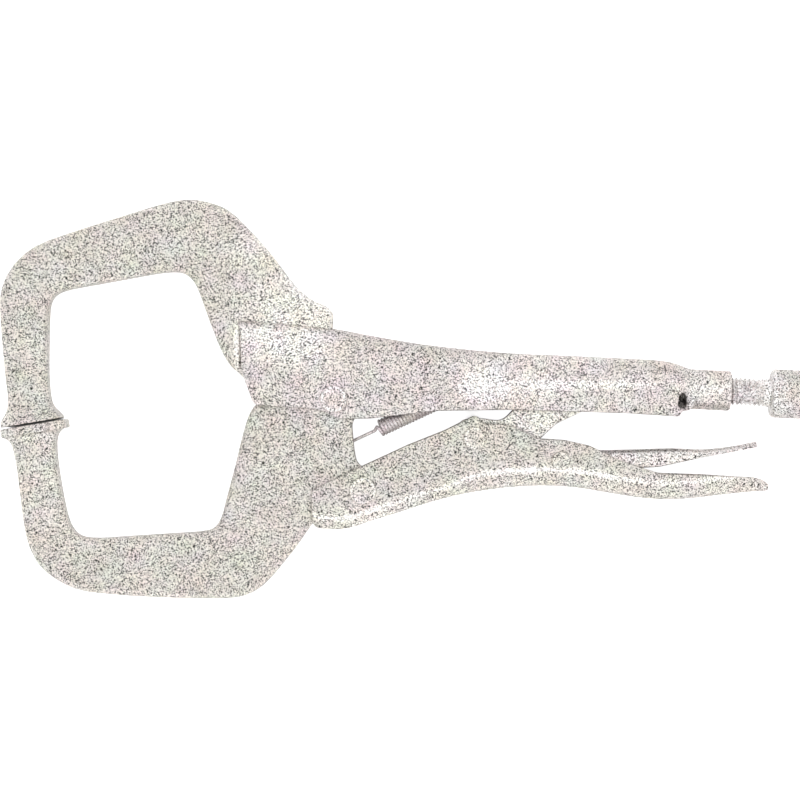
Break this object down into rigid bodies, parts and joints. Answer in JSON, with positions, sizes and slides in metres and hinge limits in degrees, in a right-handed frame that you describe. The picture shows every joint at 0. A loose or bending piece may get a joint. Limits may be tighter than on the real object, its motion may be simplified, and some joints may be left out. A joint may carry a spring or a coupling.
{
  "type": "locking C-clamp pliers",
  "caption": "Locking C-clamp pliers: a fixed and a pivoting forged jaw, channel handles, over-centre toggle link, release lever, tension spring and knurled adjusting screw.",
  "frame": {"origin": "centre of the overall box on the surface that the tool lies on, flat on one side", "axes": "+X towards the adjusting knob, +Y towards the upper handle, +Z along the rivets, up from the surface"},
  "size_m": [0.2802, 0.1376, 0.0192],
  "materials": {
    "jaw_steel": "satin nickel plate on a forging",
    "handle_steel": "satin nickel plate on sheet",
    "rivet_steel": "bright plate",
    "link_steel": "satin plate",
    "screw_steel": "satin plate, knurled knob",
    "spring_wire": "drawn wire"
  },
  "bodies": {
    "root": {"upper_handle": "handle_steel", "fixed_jaw": "jaw_steel", "jaw_pivot_rivet": "rivet_steel", "tension_spring": "spring_wire"},
    "movable_jaw": {"movable_jaw": "jaw_steel"},
    "lower_handle": {"lower_handle": "handle_steel", "handle_pivot_rivet": "rivet_steel", "link_rivet": "rivet_steel", "lever_rivet": "rivet_steel"},
    "toggle_link": {"toggle_link": "link_steel"},
    "release_lever": {"release_lever": "handle_steel"},
    "adjusting_screw": {"adjusting_screw": "screw_steel"}
  },
  "joints": [
    {"name": "jaw_pivot", "type": "hinge", "parent": "root", "child": "movable_jaw", "pos_m": [-0.025, 0, 0.0096], "axis": [0, 0, 1], "range_deg": [0, 26], "deforming": ["tension_spring"]},
    {"name": "handle_pivot", "type": "hinge", "parent": "movable_jaw", "child": "lower_handle", "pos_m": [-0.015, -0.0315, 0.0096], "axis": [0, 0, 1], "range_deg": [-68, 0]},
    {"name": "link_pivot", "type": "hinge", "parent": "lower_handle", "child": "toggle_link", "pos_m": [0.0235, -0.0135, 0.0096], "axis": [0, 0, 1], "range_deg": [0, 78.5]},
    {"name": "lever_pivot", "type": "hinge", "parent": "lower_handle", "child": "release_lever", "pos_m": [0.053, -0.0212, 0.0096], "axis": [0, 0, 1], "range_deg": [-7, 2]},
    {"name": "screw_travel", "type": "slide", "parent": "root", "child": "adjusting_screw", "axis": [0.9986, -0.0523, 0], "range_m": [0, 0.02]}
  ],
  "couplings": [
    {"joint": "handle_pivot", "follows": "jaw_pivot", "ratio": -2.6},
    {"joint": "link_pivot", "follows": "jaw_pivot", "ratio": 3}
  ]
}
